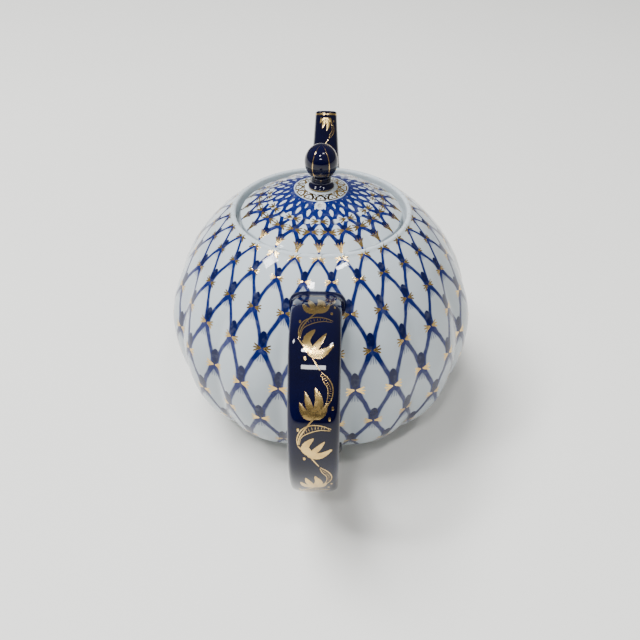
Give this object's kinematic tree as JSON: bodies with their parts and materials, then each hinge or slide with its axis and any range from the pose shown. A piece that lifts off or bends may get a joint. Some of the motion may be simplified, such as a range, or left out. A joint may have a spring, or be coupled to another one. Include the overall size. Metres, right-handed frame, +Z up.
{
  "type": "teapot",
  "caption": "Squat lobed porcelain teapot with a strap handle, a swan-neck spout and a lift-off lid with a bud knob, cobalt net and gold stars.",
  "frame": {"origin": "centre of the foot's resting face, on the pot's axis", "axes": "+X from the axis towards the spout, -X towards the handle, +Z up along the axis, which the lid lifts along"},
  "size_m": [0.1933, 0.1282, 0.1218],
  "materials": {
    "porcelain_net": "white glazed porcelain with an underglaze cobalt net and gold stars, glossy",
    "porcelain_net_lid": "white glazed porcelain with a radiating cobalt net and gold stars, glossy",
    "cobalt_gilt": "dark cobalt glaze with gold sprig ornament, glossy"
  },
  "bodies": {
    "pot": {"pot_body": "porcelain_net", "spout": "cobalt_gilt", "handle": "cobalt_gilt"},
    "cover": {"lid": "porcelain_net_lid", "knob": "cobalt_gilt"}
  },
  "joints": [
    {"name": "lid_lift", "type": "slide", "parent": "pot", "child": "cover", "axis": [0, 0, 1], "range_m": [0, 0.06]}
  ]
}
